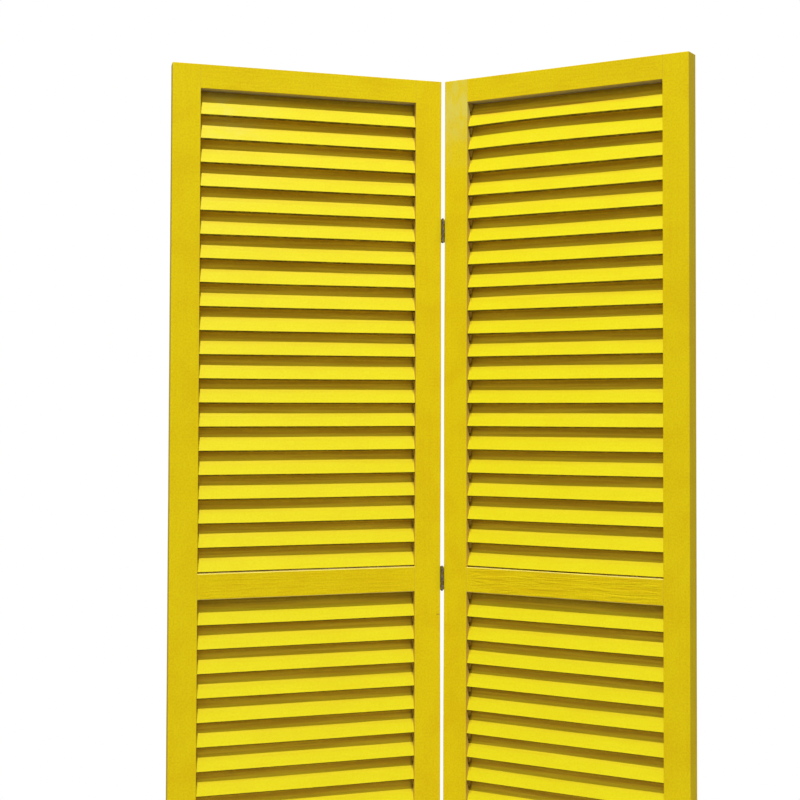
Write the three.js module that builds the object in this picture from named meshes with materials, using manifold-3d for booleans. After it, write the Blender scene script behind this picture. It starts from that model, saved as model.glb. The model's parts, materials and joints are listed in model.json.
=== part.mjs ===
// Two-panel folding screen with fixed louvres, in millimetres, +Z up.
//
// Each panel is a frame of two stiles and three rails round two openings, and each opening is
// filled by tilted slats housed in the stiles. Three butt hinges join the panels down the fold.
// The panels stand in a V that opens towards -Y, the front. The origin is the middle of the
// footprint, on the floor.

import * as THREE from 'three';
import { mergeVertices } from 'three/addons/utils/BufferGeometryUtils.js';
import Module from 'manifold-3d';

const wasm = await Module();
wasm.setup();

// Panel frame
const PANEL_WIDTH = 450;
const PANEL_HEIGHT = 1700;
const PANEL_THICKNESS = 28;
const STILE_WIDTH = 45;
const TOP_RAIL_HEIGHT = 40;
const MIDDLE_RAIL_HEIGHT = 42;
const BOTTOM_RAIL_HEIGHT = 40;
const FRAME_EASE = 1.2;
const TENON_THICKNESS = 9;
const TENON_LENGTH = 25;
const TENON_SHOULDER = 6;

// Slats
const SLAT_WIDTH = 44;
const SLAT_THICKNESS = 6;
const SLAT_EASE = 1;
const SLAT_TILT_DEG = 68;
const LEAST_SLAT_PITCH = 39;
const HOUSING_DEPTH = 8;
const SLATS_PER_SET = 4;
const SPACER_THICKNESS = 3;
const SPACER_WIDTH = 5;

// Hinges
const HINGE_HEIGHT = 40;
const HINGE_INSET = 257;
const LEAF_DEPTH = 20;
const LEAF_THICKNESS = 1.3;
const LEAF_CORNER = 1.5;
const LEAF_PARTING = 0.4;
const KNUCKLE_RADIUS = 3;
const KNUCKLE_COUNT = 5;
const KNUCKLE_GAP = 0.4;
const PIN_RADIUS = 1.3;
const PIN_HEAD_RADIUS = 2.2;
const PIN_HEAD_HEIGHT = 1.1;
const SCREW_SPREAD = 24;
const SCREW_FROM_AXIS = 12;
const SCREW_LENGTH = 14;
const SCREW_TIP_LENGTH = 3;
const SCREW_SHANK_RADIUS = 1.3;
const SCREW_HEAD_RADIUS = 2.4;

// Fits and pose
const FIT = 0.3;
const REST_FOLD_DEG = 47;
const KNUCKLE_SEGMENTS = 12;
const SCREW_SEGMENTS = 8;
const CUT_OVERSHOOT = 1;
const MERGE_TOLERANCE = 1e-4;

// Values that follow from the ones above
const OPENING_WIDTH = PANEL_WIDTH - 2 * STILE_WIDTH;
const OPENING_HEIGHT = (PANEL_HEIGHT - TOP_RAIL_HEIGHT - MIDDLE_RAIL_HEIGHT - BOTTOM_RAIL_HEIGHT) / 2;
const MIDDLE_RAIL_Z = BOTTOM_RAIL_HEIGHT + OPENING_HEIGHT + MIDDLE_RAIL_HEIGHT / 2;
const SLAT_TILT = THREE.MathUtils.degToRad(SLAT_TILT_DEG);
const SLAT_RISE = SLAT_WIDTH * Math.sin(SLAT_TILT) + SLAT_THICKNESS * Math.cos(SLAT_TILT);
const SLAT_TRAVEL = OPENING_HEIGHT - SLAT_RISE - 2 * FIT;
const SLAT_COUNT = Math.floor(SLAT_TRAVEL / LEAST_SLAT_PITCH) + 1;
const SLAT_PITCH = SLAT_TRAVEL / (SLAT_COUNT - 1);
const SLAT_LENGTH = OPENING_WIDTH + 2 * (HOUSING_DEPTH - FIT);
const HALF_GAP = LEAF_PARTING + LEAF_THICKNESS + FIT;
const BORE_RADIUS = PIN_RADIUS + FIT;
const KNUCKLE_HEIGHT = (HINGE_HEIGHT - (KNUCKLE_COUNT - 1) * KNUCKLE_GAP) / KNUCKLE_COUNT;
const FRONT_Y = KNUCKLE_RADIUS;
const MIDDLE_Y = FRONT_Y + PANEL_THICKNESS / 2;

const RAILS = {
  bottom_rail: { height: BOTTOM_RAIL_HEIGHT, z: BOTTOM_RAIL_HEIGHT / 2 },
  middle_rail: { height: MIDDLE_RAIL_HEIGHT, z: MIDDLE_RAIL_Z },
  top_rail: { height: TOP_RAIL_HEIGHT, z: PANEL_HEIGHT - TOP_RAIL_HEIGHT / 2 },
};

const SECTIONS = {
  lower_slats: BOTTOM_RAIL_HEIGHT,
  upper_slats: MIDDLE_RAIL_Z + MIDDLE_RAIL_HEIGHT / 2,
};

const HINGES = {
  bottom_hinge: HINGE_INSET,
  middle_hinge: MIDDLE_RAIL_Z,
  top_hinge: PANEL_HEIGHT - HINGE_INSET,
};

// Materials
const framePaint = new THREE.MeshStandardMaterial({ color: 0xdcc112, roughness: 0.45, metalness: 0 });
const slatPaint = new THREE.MeshStandardMaterial({ color: 0xf3e41f, roughness: 0.45, metalness: 0 });
const hingeSteel = new THREE.MeshStandardMaterial({ color: 0x4a4038, roughness: 0.5, metalness: 0.9 });
const screwSteel = new THREE.MeshStandardMaterial({ color: 0x6b6156, roughness: 0.4, metalness: 0.9 });

// Turns a closed geometry into a solid that can be joined and cut.
function solidOf(geometry) {
  const bare = geometry.clone();
  bare.deleteAttribute('normal');
  bare.deleteAttribute('uv');
  const merged = mergeVertices(bare, MERGE_TOLERANCE);
  const vertProperties = new Float32Array(merged.attributes.position.array);
  const triVerts = new Uint32Array(merged.index.array);
  return new wasm.Manifold(new wasm.Mesh({ numProp: 3, vertProperties, triVerts }));
}

// Turns a solid back into a geometry.
function geometryOf(solid) {
  const { vertProperties, triVerts } = solid.getMesh();
  const geometry = new THREE.BufferGeometry();
  geometry.setAttribute('position', new THREE.BufferAttribute(vertProperties, 3));
  geometry.setIndex(new THREE.BufferAttribute(triVerts, 1));
  geometry.computeVertexNormals();
  return geometry;
}

// Joins one geometry with more of them, then cuts others out of it.
function shaped(first, joined, cuts) {
  let solid = solidOf(first);
  for (const piece of joined) {
    solid = solid.add(solidOf(piece));
  }
  for (const piece of cuts) {
    solid = solid.subtract(solidOf(piece));
  }
  return geometryOf(solid);
}

// The same geometry, seen in a mirror at x = 0.
function mirrored(geometry) {
  const flipped = geometry.clone();
  const { position } = flipped.attributes;
  for (let i = 0; i < position.count; i += 1) {
    position.setX(i, -position.getX(i));
  }
  const corners = flipped.index.array;
  for (let i = 0; i < corners.length; i += 3) {
    [corners[i + 1], corners[i + 2]] = [corners[i + 2], corners[i + 1]];
  }
  flipped.computeVertexNormals();
  return flipped;
}

// A rectangle about the origin with its corners eased off.
function easedRectangle(width, height, ease) {
  const x = width / 2;
  const y = height / 2;
  const outline = new THREE.Shape();
  outline.moveTo(x, y - ease);
  outline.lineTo(x - ease, y);
  outline.lineTo(ease - x, y);
  outline.lineTo(-x, y - ease);
  outline.lineTo(-x, ease - y);
  outline.lineTo(ease - x, -y);
  outline.lineTo(x - ease, -y);
  outline.lineTo(x, ease - y);
  return outline;
}

// A bar along X, centred, from a section whose width lies along Y and height along Z.
function barAlongX(section, length) {
  const bar = new THREE.ExtrudeGeometry(section, { depth: length, bevelEnabled: false });
  bar.translate(0, 0, -length / 2);
  const along = new THREE.Vector3(1, 0, 0);
  const widthways = new THREE.Vector3(0, 1, 0);
  const heightways = new THREE.Vector3(0, 0, 1);
  return bar.applyMatrix4(new THREE.Matrix4().makeBasis(widthways, heightways, along));
}

// A plain block between two corners.
function block(low, high) {
  const size = high.map((value, i) => value - low[i]);
  const middle = high.map((value, i) => (value + low[i]) / 2);
  return new THREE.BoxGeometry(...size).translate(...middle);
}

// A turned piece about Z, from a profile of [radius, z] points.
function turned(profile, segments) {
  const points = profile.map(([radius, z]) => new THREE.Vector2(radius, z));
  return new THREE.LatheGeometry(points, segments).rotateX(Math.PI / 2);
}

// A plain rod about Z between two heights.
function rod(radius, low, high, segments) {
  return turned([[0, low], [radius, low], [radius, high], [0, high]], segments);
}

// The height of one slat's middle above the foot of its opening.
function slatZ(index) {
  return FIT + SLAT_RISE / 2 + index * SLAT_PITCH;
}

// The slanted housing for one slat end, cut into a stile's inner edge at x = 0.
function slatHousing(z) {
  const halfWidth = SLAT_WIDTH / 2 + FIT;
  const halfThickness = SLAT_THICKNESS / 2 + FIT;
  const slot = block([-HOUSING_DEPTH, -halfWidth, -halfThickness], [CUT_OVERSHOOT, halfWidth, halfThickness]);
  return slot.rotateX(SLAT_TILT).translate(0, 0, z);
}

// The hidden groove that takes the spacers of one opening, from slatZ(0) to the last slat.
function spacerGroove(foot) {
  const halfWidth = SPACER_WIDTH / 2 + FIT;
  const mouth = SPACER_THICKNESS + 2 * FIT - HOUSING_DEPTH;
  const low = [-HOUSING_DEPTH, -halfWidth, foot + slatZ(0) - FIT];
  const high = [mouth, halfWidth, foot + slatZ(SLAT_COUNT - 1) + FIT];
  return block(low, high);
}

// The mortise for one rail's tenon, cut into a stile's inner edge at x = 0.
function mortise(rail) {
  const halfHeight = rail.height / 2 - TENON_SHOULDER + FIT;
  const halfThickness = TENON_THICKNESS / 2 + FIT;
  const low = [-TENON_LENGTH - FIT, -halfThickness, rail.z - halfHeight];
  const high = [CUT_OVERSHOOT, halfThickness, rail.z + halfHeight];
  return block(low, high);
}

// The two screw heights of a hinge, from its middle.
function screwHeights() {
  return [-SCREW_SPREAD / 2, SCREW_SPREAD / 2];
}

// The pilot holes for the hinge screws, in a stile's outer edge at x = -STILE_WIDTH.
function pilotHoles() {
  const depth = SCREW_LENGTH + CUT_OVERSHOOT;
  const middleX = depth / 2 - CUT_OVERSHOOT - STILE_WIDTH;
  const y = SCREW_FROM_AXIS - MIDDLE_Y;
  const hole = rod(SCREW_SHANK_RADIUS + FIT, -depth / 2, depth / 2, SCREW_SEGMENTS).rotateY(Math.PI / 2);
  const heights = Object.values(HINGES).flatMap((hingeZ) => screwHeights().map((z) => hingeZ + z));
  return heights.map((z) => hole.clone().translate(middleX, y, z));
}

// A stile with its inner edge at x = 0, facing +X. Housings stop short of the outer faces.
function stileGeometry(extraCuts) {
  const outline = easedRectangle(STILE_WIDTH, PANEL_THICKNESS, FRAME_EASE);
  const post = new THREE.ExtrudeGeometry(outline, { depth: PANEL_HEIGHT, bevelEnabled: false });
  post.translate(-STILE_WIDTH / 2, 0, 0);
  const cuts = Object.values(RAILS).map(mortise);
  for (const foot of Object.values(SECTIONS)) {
    cuts.push(spacerGroove(foot));
    for (let i = 0; i < SLAT_COUNT; i += 1) {
      cuts.push(slatHousing(foot + slatZ(i)));
    }
  }
  return shaped(post, [], [...cuts, ...extraCuts]);
}

// A rail between the stiles, with a tenon at each end.
function railGeometry({ height }) {
  const body = barAlongX(easedRectangle(PANEL_THICKNESS, height, FRAME_EASE), OPENING_WIDTH - 2 * FIT);
  const tenonHeight = height - 2 * TENON_SHOULDER;
  const tenons = new THREE.BoxGeometry(OPENING_WIDTH + 2 * TENON_LENGTH, TENON_THICKNESS, tenonHeight);
  return shaped(body, [tenons], []);
}

// A set of neighbouring slats, held at their pitch by a spacer at each end. Its lowest slat is at z = 0.
function slatSetGeometry(count) {
  const section = easedRectangle(SLAT_WIDTH, SLAT_THICKNESS, SLAT_EASE);
  const slats = [];
  for (let i = 0; i < count; i += 1) {
    slats.push(barAlongX(section, SLAT_LENGTH).rotateX(SLAT_TILT).translate(0, 0, i * SLAT_PITCH));
  }
  const top = (count - 1) * SLAT_PITCH;
  const halfLength = SLAT_LENGTH / 2;
  const halfWidth = SPACER_WIDTH / 2;
  const spacer = block([halfLength - SPACER_THICKNESS, -halfWidth, 0], [halfLength, halfWidth, top]);
  return shaped(slats[0], [...slats.slice(1), spacer, mirrored(spacer)], []);
}

// The bottom and top of one knuckle, from the hinge's middle.
function knuckleSpan(index) {
  const low = index * (KNUCKLE_HEIGHT + KNUCKLE_GAP) - HINGE_HEIGHT / 2;
  return [low, low + KNUCKLE_HEIGHT];
}

// A hinge leaf on the +X side of the axis, carrying every second knuckle from the one given.
function leafGeometry(firstKnuckle) {
  const inner = LEAF_PARTING;
  const outer = LEAF_PARTING + LEAF_THICKNESS;
  const start = KNUCKLE_RADIUS + KNUCKLE_GAP;
  const depth = LEAF_DEPTH - start;
  const plate = barAlongX(easedRectangle(depth, HINGE_HEIGHT, LEAF_CORNER), LEAF_THICKNESS);
  plate.translate((inner + outer) / 2, start + depth / 2, 0);
  const joined = [];
  for (let i = firstKnuckle; i < KNUCKLE_COUNT; i += 2) {
    const [low, high] = knuckleSpan(i);
    joined.push(rod(KNUCKLE_RADIUS, low, high, KNUCKLE_SEGMENTS));
    joined.push(block([inner, 0, low], [outer, start + LEAF_CORNER, high]));
  }
  const cuts = [rod(BORE_RADIUS, -HINGE_HEIGHT, HINGE_HEIGHT, KNUCKLE_SEGMENTS)];
  for (const z of screwHeights()) {
    cuts.push(screwHole().rotateY(Math.PI / 2).translate(inner, SCREW_FROM_AXIS, z));
  }
  return shaped(plate, joined, cuts);
}

// A countersunk hole about Z: its mouth at z = 0, opening downwards, its shank up through the leaf.
function screwHole() {
  const mouth = SCREW_HEAD_RADIUS + FIT;
  const shank = SCREW_SHANK_RADIUS + FIT;
  const through = LEAF_THICKNESS + CUT_OVERSHOOT;
  return turned([
    [0, -CUT_OVERSHOOT],
    [mouth, -CUT_OVERSHOOT],
    [mouth, 0],
    [shank, mouth - shank],
    [shank, through],
    [0, through],
  ], SCREW_SEGMENTS);
}

// A countersunk wood screw about Z, its head's face at z = 0 and its tip upwards.
function screwGeometry() {
  const neck = SCREW_HEAD_RADIUS - SCREW_SHANK_RADIUS;
  return turned([
    [0, 0],
    [SCREW_HEAD_RADIUS, 0],
    [SCREW_SHANK_RADIUS, neck],
    [SCREW_SHANK_RADIUS, SCREW_LENGTH - SCREW_TIP_LENGTH],
    [0, SCREW_LENGTH - FIT],
  ], SCREW_SEGMENTS);
}

// A hinge pin about Z with a domed head at each end, just clear of the knuckles.
function pinGeometry() {
  const seat = HINGE_HEIGHT / 2 + FIT;
  const end = seat + PIN_HEAD_HEIGHT;
  const shoulder = PIN_HEAD_RADIUS / 2;
  return turned([
    [0, -end],
    [shoulder, -end],
    [PIN_HEAD_RADIUS, -seat - PIN_HEAD_HEIGHT / 2],
    [PIN_HEAD_RADIUS, -seat],
    [PIN_RADIUS, -seat],
    [PIN_RADIUS, seat],
    [PIN_HEAD_RADIUS, seat],
    [PIN_HEAD_RADIUS, seat + PIN_HEAD_HEIGHT / 2],
    [shoulder, end],
    [0, end],
  ], KNUCKLE_SEGMENTS);
}

// Adds a named mesh to a group and returns it.
function addMesh(group, name, geometry, material) {
  const mesh = new THREE.Mesh(geometry, material);
  mesh.name = name;
  group.add(mesh);
  return mesh;
}

// Adds one opening's slats to a panel, in numbered sets from the bottom up.
function addSlats(group, prefix, middleX, foot) {
  for (let first = 0, set = 1; first < SLAT_COUNT; first += SLATS_PER_SET, set += 1) {
    const count = Math.min(SLATS_PER_SET, SLAT_COUNT - first);
    const slats = addMesh(group, `${prefix}_${set}`, slatSetGeometry(count), slatPaint);
    slats.position.set(middleX, MIDDLE_Y, foot + slatZ(first));
  }
}

// One panel about the hinge axis: side 1 lies along +X, and side -1 is its mirror image.
function buildPanel(name, side) {
  const panel = new THREE.Group();
  const handed = (geometry) => (side > 0 ? geometry : mirrored(geometry));
  const opposite = (geometry) => (side > 0 ? mirrored(geometry) : geometry);
  const innerEdge = HALF_GAP + STILE_WIDTH;
  const middleX = side * (HALF_GAP + PANEL_WIDTH / 2);

  const hingeStile = addMesh(panel, `${name}_hinge_stile`, handed(stileGeometry(pilotHoles())), framePaint);
  hingeStile.position.set(side * innerEdge, MIDDLE_Y, 0);
  const outerStile = addMesh(panel, `${name}_outer_stile`, opposite(stileGeometry([])), framePaint);
  outerStile.position.set(side * (innerEdge + OPENING_WIDTH), MIDDLE_Y, 0);

  for (const [railName, rail] of Object.entries(RAILS)) {
    const mesh = addMesh(panel, `${name}_${railName}`, railGeometry(rail), framePaint);
    mesh.position.set(middleX, MIDDLE_Y, rail.z);
  }
  for (const [sectionName, foot] of Object.entries(SECTIONS)) {
    addSlats(panel, `${name}_${sectionName}`, middleX, foot);
  }
  return panel;
}

// Adds one panel's hinge leaves and their screws.
function addLeaves(panel, sideName, side) {
  const firstKnuckle = side > 0 ? 1 : 0;
  for (const [hingeName, hingeZ] of Object.entries(HINGES)) {
    const leaf = leafGeometry(firstKnuckle);
    const handed = side > 0 ? leaf : mirrored(leaf);
    addMesh(panel, `${hingeName}_${sideName}_leaf`, handed, hingeSteel).position.z = hingeZ;
    screwHeights().forEach((z, i) => {
      const screw = addMesh(panel, `${hingeName}_${sideName}_screw_${i + 1}`, screwGeometry(), screwSteel);
      screw.rotation.y = side * Math.PI / 2;
      screw.position.set(side * LEAF_PARTING, SCREW_FROM_AXIS, hingeZ + z);
    });
  }
}

const leftPanel = buildPanel('left_panel', -1);
const rightPanel = buildPanel('right_panel', 1);
addLeaves(leftPanel, 'left', -1);
addLeaves(rightPanel, 'right', 1);
for (const [hingeName, hingeZ] of Object.entries(HINGES)) {
  addMesh(leftPanel, `${hingeName}_pin`, pinGeometry(), hingeSteel).position.z = hingeZ;
}

const halfFold = THREE.MathUtils.degToRad(REST_FOLD_DEG / 2);
leftPanel.rotation.z = halfFold;
rightPanel.rotation.z = -halfFold;

const screen = new THREE.Group();
screen.add(leftPanel, rightPanel);
screen.updateMatrixWorld(true);
const footprint = new THREE.Box3().setFromObject(screen, true).getCenter(new THREE.Vector3());
leftPanel.position.set(-footprint.x, -footprint.y, 0);
rightPanel.position.set(-footprint.x, -footprint.y, 0);

export default screen;
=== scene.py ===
"""Looks of a two-panel louvred folding screen in brushed yellow paint.

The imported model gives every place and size. Each panel's stiles, rails and slats are lofted
bars with eased arrises, slight warps and housed joints, and each hinge is a pair of leaves
with rolled knuckles, a pin and four wood screws. Lengths are in metres unless a name says mm.
"""

import json
import logging
import math
import random
from collections.abc import Callable, Iterable, Sequence
from dataclasses import dataclass, field
from enum import Enum

import bpy
from mathutils import Matrix, Vector, noise


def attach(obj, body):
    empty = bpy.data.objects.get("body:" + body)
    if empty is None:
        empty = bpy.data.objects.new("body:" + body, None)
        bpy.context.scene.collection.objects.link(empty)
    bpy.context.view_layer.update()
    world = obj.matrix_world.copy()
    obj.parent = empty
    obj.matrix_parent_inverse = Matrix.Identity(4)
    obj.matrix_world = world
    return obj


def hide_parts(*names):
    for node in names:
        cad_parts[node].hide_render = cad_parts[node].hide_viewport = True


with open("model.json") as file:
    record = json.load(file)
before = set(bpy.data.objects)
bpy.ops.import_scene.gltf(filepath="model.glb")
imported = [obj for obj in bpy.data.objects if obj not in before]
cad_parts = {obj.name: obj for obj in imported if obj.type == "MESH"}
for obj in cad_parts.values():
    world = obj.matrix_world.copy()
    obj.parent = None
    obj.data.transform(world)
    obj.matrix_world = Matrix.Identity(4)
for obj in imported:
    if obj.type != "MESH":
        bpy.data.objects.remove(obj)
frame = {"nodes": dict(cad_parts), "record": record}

LOG = logging.getLogger("louvred_screen")
MM = 0.001
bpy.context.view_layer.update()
SEED = 11
HINGES = ("bottom_hinge", "middle_hinge", "top_hinge")
RAILS = ("bottom_rail", "middle_rail", "top_rail")
OPENINGS = ("lower_slats", "upper_slats")

Colour = tuple[float, float, float]
Socket = bpy.types.NodeSocket
Value = Socket | float | Sequence[float]


class Side(Enum):
    """The two panels, by the side they stand on seen from the front."""

    LEFT = -1
    RIGHT = 1

    @property
    def word(self) -> str:
        """The word that node and piece names use for this side."""
        return self.name.lower()

    @property
    def body(self) -> str:
        """The CAD body that everything on this side rides on."""
        return f"{self.word}_panel"


class Carve(Enum):
    """How one solid acts on another."""

    CUT = "DIFFERENCE"
    JOIN = "UNION"


# ---------------------------------------------------------------- places


@dataclass(frozen=True)
class FoldAxis:
    """The upright line that both panels turn about.

    Panel coordinates have their origin where the axis meets the floor, x out along the panel
    (negative on the left one), y towards the back and z up.
    """

    x: float
    y: float
    half_fold: float

    @classmethod
    def from_record(cls, record: dict) -> "FoldAxis":
        """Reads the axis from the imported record's fold joint.

        Args:
            record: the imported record.

        Returns:
            The axis, with half of the angle that the joint is folded from flat at rest.
        """
        joint = record["behaviour"]["joints"][0]
        flat = joint["range_deg"][0]
        return cls(joint["pos_m"][0], joint["pos_m"][1], math.radians(-flat / 2))

    def placement(self, side: Side) -> Matrix:
        """The matrix from one panel's coordinates to the row frame."""
        turn = Matrix.Rotation(-side.value * self.half_fold, 4, "Z")
        return Matrix.Translation((self.x, self.y, 0.0)) @ turn

    def node_box(self, node: str, side: Side) -> tuple[Vector, Vector]:
        """A CAD node's lowest and highest corners in its panel's coordinates.

        Args:
            node: the CAD node's name.
            side: the panel it belongs to.

        Returns:
            The two corners.
        """
        back = self.placement(side).inverted()
        points = [back @ v.co for v in frame["nodes"][node].data.vertices]
        low = Vector(min(p[i] for p in points) for i in range(3))
        high = Vector(max(p[i] for p in points) for i in range(3))
        return low, high


# ---------------------------------------------------------------- meshes


@dataclass
class Shell:
    """Points and faces of a closed surface, gathered before they become a mesh."""

    points: list[Vector] = field(default_factory=list)
    faces: list[tuple[int, ...]] = field(default_factory=list)

    def loft(self, rings: Sequence[Sequence[Vector]]) -> "Shell":
        """Skins a stack of rings that turn anticlockwise seen from the far end, and caps both ends.

        Args:
            rings: the rings in order, each with as many points as the others.

        Returns:
            This shell.
        """
        first = len(self.points)
        count = len(rings[0])
        for ring in rings:
            self.points.extend(ring)
        for level in range(len(rings) - 1):
            low = first + level * count
            high = low + count
            for i in range(count):
                j = (i + 1) % count
                self.faces.append((low + i, low + j, high + j, high + i))
        last = first + (len(rings) - 1) * count
        self.faces.append(tuple(first + i for i in reversed(range(count))))
        self.faces.append(tuple(last + i for i in range(count)))
        return self

    def box(self, low: Sequence[float], high: Sequence[float], turn: Matrix | None = None) -> "Shell":
        """Adds a plain block, for cutting with.

        Args:
            low: its lowest corner.
            high: its highest corner.
            turn: how the block is then turned and moved.

        Returns:
            This shell.
        """
        corners = [(low[1], low[2]), (high[1], low[2]), (high[1], high[2]), (low[1], high[2])]
        rings = [[Vector((x, y, z)) for y, z in corners] for x in (low[0], high[0])]
        if turn is not None:
            rings = [[turn @ p for p in ring] for ring in rings]
        return self.loft(rings)

    def turned(self, profile: Sequence[tuple[float, float]], segments: int) -> "Shell":
        """Adds a turned piece about Z.

        Args:
            profile: (radius, z) pairs from the bottom up, which never touch the axis.
            segments: how many sides go round it.

        Returns:
            This shell.
        """
        angles = [math.tau * i / segments for i in range(segments)]
        rings = [[Vector((r * math.cos(a), r * math.sin(a), z)) for a in angles] for r, z in profile]
        return self.loft(rings)

    def made(self, name: str) -> bpy.types.Object:
        """Turns the shell into an object in the scene.

        Args:
            name: the object's name.

        Returns:
            The new object.
        """
        mesh = bpy.data.meshes.new(name)
        mesh.from_pydata([tuple(p) for p in self.points], [], self.faces)
        mesh.update()
        made = bpy.data.objects.new(name, mesh)
        bpy.context.scene.collection.objects.link(made)
        return made


def carve(body: bpy.types.Object, tool: bpy.types.Object, how: Carve) -> None:
    """Cuts one object with another or joins them, and removes the tool.

    Args:
        body: the object whose mesh changes.
        tool: the object that is used up.
        how: whether to cut or join.
    """
    modifier = body.modifiers.new("carve", "BOOLEAN")
    modifier.operation = how.value
    modifier.solver = "MANIFOLD"
    modifier.object = tool
    bpy.context.view_layer.update()
    graph = bpy.context.evaluated_depsgraph_get()
    mesh = bpy.data.meshes.new_from_object(body.evaluated_get(graph))
    body.modifiers.clear()
    old = body.data
    body.data = mesh
    mesh.name = body.name
    bpy.data.meshes.remove(old)
    bpy.data.objects.remove(tool)


def mark(piece: bpy.types.Object, name: str, share: Callable[[Vector], float]) -> None:
    """Stores a number from 0 to 1 at each of a mesh's points, for its material to read.

    Args:
        piece: the object.
        name: the attribute's name.
        share: gives the number at a point of the mesh.
    """
    layer = piece.data.attributes.new(name, "FLOAT", "POINT")
    layer.data.foreach_set("value", [share(v.co) for v in piece.data.vertices])


def mark_places(piece: bpy.types.Object, place: Matrix) -> None:
    """Stores each point's place in its panel, so that the paint's clouds run over the joints."""
    layer = piece.data.attributes.new("place", "FLOAT_VECTOR", "POINT")
    layer.data.foreach_set("vector", [c for v in piece.data.vertices for c in place @ v.co])


def smooth(piece: bpy.types.Object, angle_deg: float = 35.0) -> None:
    """Shades a piece smooth, and sharp where two faces meet at more than an angle."""
    piece.data.shade_smooth()
    piece.data.set_sharp_from_angle(angle=math.radians(angle_deg))


def coat(piece: bpy.types.Object, material: bpy.types.Material) -> None:
    """Puts one material on the whole of a piece."""
    piece.data.materials.clear()
    piece.data.materials.append(material)


def ease(share: float) -> float:
    """A smooth step from 0 to 1."""
    held = min(1.0, max(0.0, share))
    return held * held * (3 - 2 * held)


def onset(value: float, start: float, over: float) -> float:
    """How far a value is past a start: 0 before it and 1 once it is past by a whole width."""
    return ease((value - start) / over)


# ---------------------------------------------------------------- sections


@dataclass(frozen=True)
class Section:
    """A rounded rectangle that a bar is lofted through.

    Attributes:
        depth: its size along the bar's y.
        width: its size along the bar's z.
        arrises: the radius of each corner, from (+y, +z) anticlockwise.
        depth_steps: how many spans each side along y has.
        width_steps: how many spans each side along z has.
        arc_steps: how many spans each arris has.
        hold: how far from an arris a point is held on the flat beside it.
        least_arris: the smallest radius that an inset leaves.
        arris_reach: how far in from a corner the wear and painted highlight can start, in arris radii.
        arris_fade: how much of that reach they take to grow to their full share.
    """

    depth: float
    width: float
    arrises: tuple[float, float, float, float]
    depth_steps: int = 3
    width_steps: int = 5

    arc_steps: int = 4
    hold: float = 0.4 * MM
    least_arris: float = 0.05 * MM
    arris_reach: float = 1.2
    arris_fade: float = 0.6

    def inset(self, amount: float) -> "Section":
        """Draws the section in all round.

        Args:
            amount: how far each face moves in.

        Returns:
            The smaller section.
        """
        arrises = tuple(max(r - amount, self.least_arris) for r in self.arrises)
        size = (self.depth - 2 * amount, self.width - 2 * amount)
        return Section(*size, arrises, self.depth_steps, self.width_steps)

    def side(self, start: Vector, end: Vector, steps: int) -> list[Vector]:
        """Points between two arrises, with one held close to each.

        Args:
            start: where the first arris ends.
            end: where the next one begins.
            steps: how many spans lie between them.

        Returns:
            The points in order.
        """
        run = end - start
        hold = min(self.hold / max(run.length, 1e-9), 0.2)
        shares = [hold] + [i / steps for i in range(1, steps)] + [1 - hold]
        return [start + run * share for share in shares]

    def outline(self) -> list[tuple[Vector, Vector]]:
        """Walks round the section anticlockwise in (y, z).

        Returns:
            Each point with its outward direction.
        """
        signs = ((1, 1), (-1, 1), (-1, -1), (1, -1))
        arcs = []
        for corner, ((sy, sz), radius) in enumerate(zip(signs, self.arrises)):
            middle = Vector((sy * (self.depth / 2 - radius), sz * (self.width / 2 - radius)))
            arc = []
            for step in range(self.arc_steps + 1):
                angle = math.pi / 2 * (corner + step / self.arc_steps)
                out = Vector((math.cos(angle), math.sin(angle)))
                arc.append((middle + out * radius, out))
            arcs.append(arc)
        points = []
        for corner, arc in enumerate(arcs):
            points.extend(arc)
            out = arc[-1][1]
            after = arcs[(corner + 1) % 4][0][0]
            steps = self.width_steps if corner % 2 else self.depth_steps
            points.extend((p, out) for p in self.side(arc[-1][0], after, steps))
        return points

    def arris_share(self, point: Vector) -> float:
        """How far round an arris a point of a bar lies.

        Args:
            point: the point, in the bar's coordinates.

        Returns:
            0 on a flat and 1 on the corner.
        """
        reach = self.arris_reach * max(self.arrises)
        y = abs(point.y) - (self.depth / 2 - reach)
        z = abs(point.z) - (self.width / 2 - reach)
        return ease(min(y, z) / (self.arris_fade * reach))


# ---------------------------------------------------------------- finishes


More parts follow.
